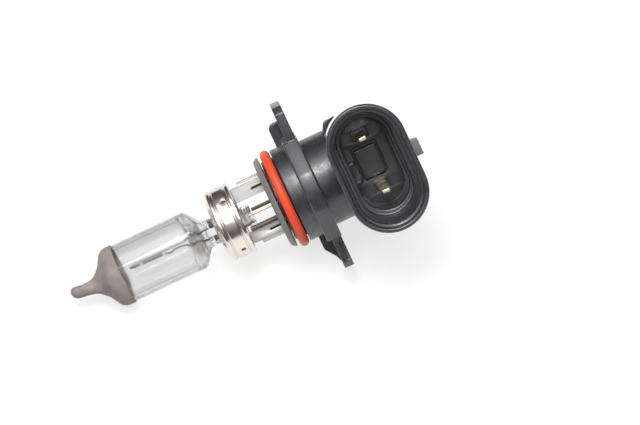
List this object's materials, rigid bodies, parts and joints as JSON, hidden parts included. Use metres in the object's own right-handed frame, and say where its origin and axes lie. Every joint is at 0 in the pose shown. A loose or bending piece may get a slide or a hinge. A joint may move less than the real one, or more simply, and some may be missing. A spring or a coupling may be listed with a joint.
{
  "type": "headlight bulb",
  "caption": "Right-angle halogen headlight bulb: coated-tip glass burner in a metal collar on a moulded plastic base with seating lugs, sealing ring and side connector.",
  "frame": {"origin": "on the burner axis, at the seating face of the lugs", "axes": "+X along the burner axis towards the glass tip, +Z the way the connector opens, +Y completes the right-handed frame"},
  "size_m": [0.0835, 0.0389, 0.0401],
  "materials": {
    "clear_glass": "clear, smooth",
    "tip_coating": "matte grey-brown light-blocking paint, on the glass",
    "tungsten": "drawn tungsten wire",
    "molybdenum": "drawn molybdenum wire and foil",
    "collar_nickel": "polished nickel plate, warm",
    "bracket_steel": "plated sheet steel, satin",
    "dark_steel": "oxidised steel, satin",
    "terminal_brass": "pale tin-brass, satin",
    "black_plastic": "moulded glass-filled plastic, satin black",
    "grey_plastic": "moulded plastic, dark grey",
    "seal_rubber": "orange-red silicone, satin",
    "potting_resin": "black epoxy"
  },
  "bodies": {
    "root": {"glass_envelope": "clear_glass", "tip_coating": "tip_coating", "filament_coil": "tungsten", "long_filament_support": "molybdenum", "short_filament_support": "molybdenum", "upper_foil": "molybdenum", "lower_foil": "molybdenum", "upper_outer_lead": "molybdenum", "lower_outer_lead": "molybdenum", "burner_collar": "collar_nickel", "bracket_ring": "bracket_steel", "front_pinch_spring": "bracket_steel", "rear_pinch_spring": "bracket_steel", "upper_bracket_leg": "bracket_steel", "lower_bracket_leg": "bracket_steel", "upper_weld_tab": "bracket_steel", "lower_weld_tab": "bracket_steel", "steel_lead_strap": "dark_steel", "lower_lead_rod": "dark_steel", "brass_lead_strap": "terminal_brass", "upper_terminal": "terminal_brass", "lower_terminal": "terminal_brass", "base_housing": "black_plastic", "pilot_disc": "grey_plastic", "sealing_ring": "seal_rubber", "potting_seal": "potting_resin", "terminal_lock_insert": "black_plastic"}
  },
  "joints": []
}
